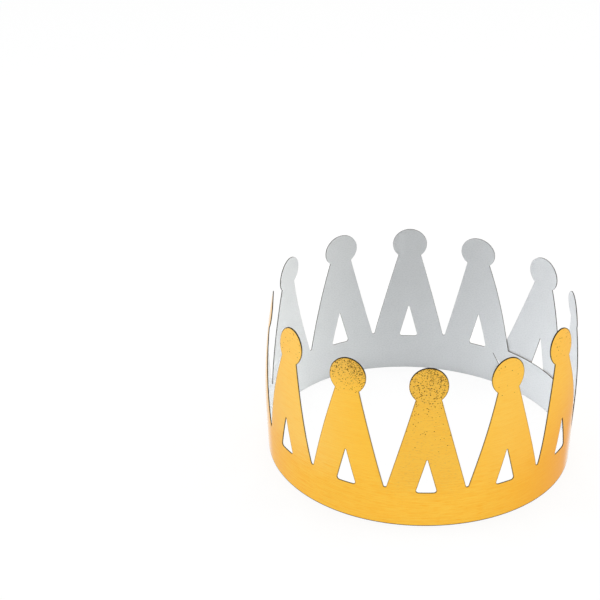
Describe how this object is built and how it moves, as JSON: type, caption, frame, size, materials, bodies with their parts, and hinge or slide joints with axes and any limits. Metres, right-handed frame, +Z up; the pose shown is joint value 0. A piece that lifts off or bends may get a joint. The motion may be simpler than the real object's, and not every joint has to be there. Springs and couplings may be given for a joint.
{
  "type": "paper crown",
  "caption": "Crown cut from one strip of gilt card with ball-tipped points and windows, curled into a ring and lapped at a tab.",
  "frame": {"origin": "middle of the bounding box, on the flat plane that the crown's lower edge stands on", "axes": "+Z up towards the tips, -Y towards the point that faces the viewer in the picture, the lapped join at the back right (+X, +Y)"},
  "size_m": [0.1814, 0.1678, 0.102],
  "materials": {
    "gilt_card": "gold metallic foil outside, plain pale grey-white card inside, thin dark cut edges"
  },
  "bodies": {
    "root": {"crown": "gilt_card"}
  },
  "joints": []
}
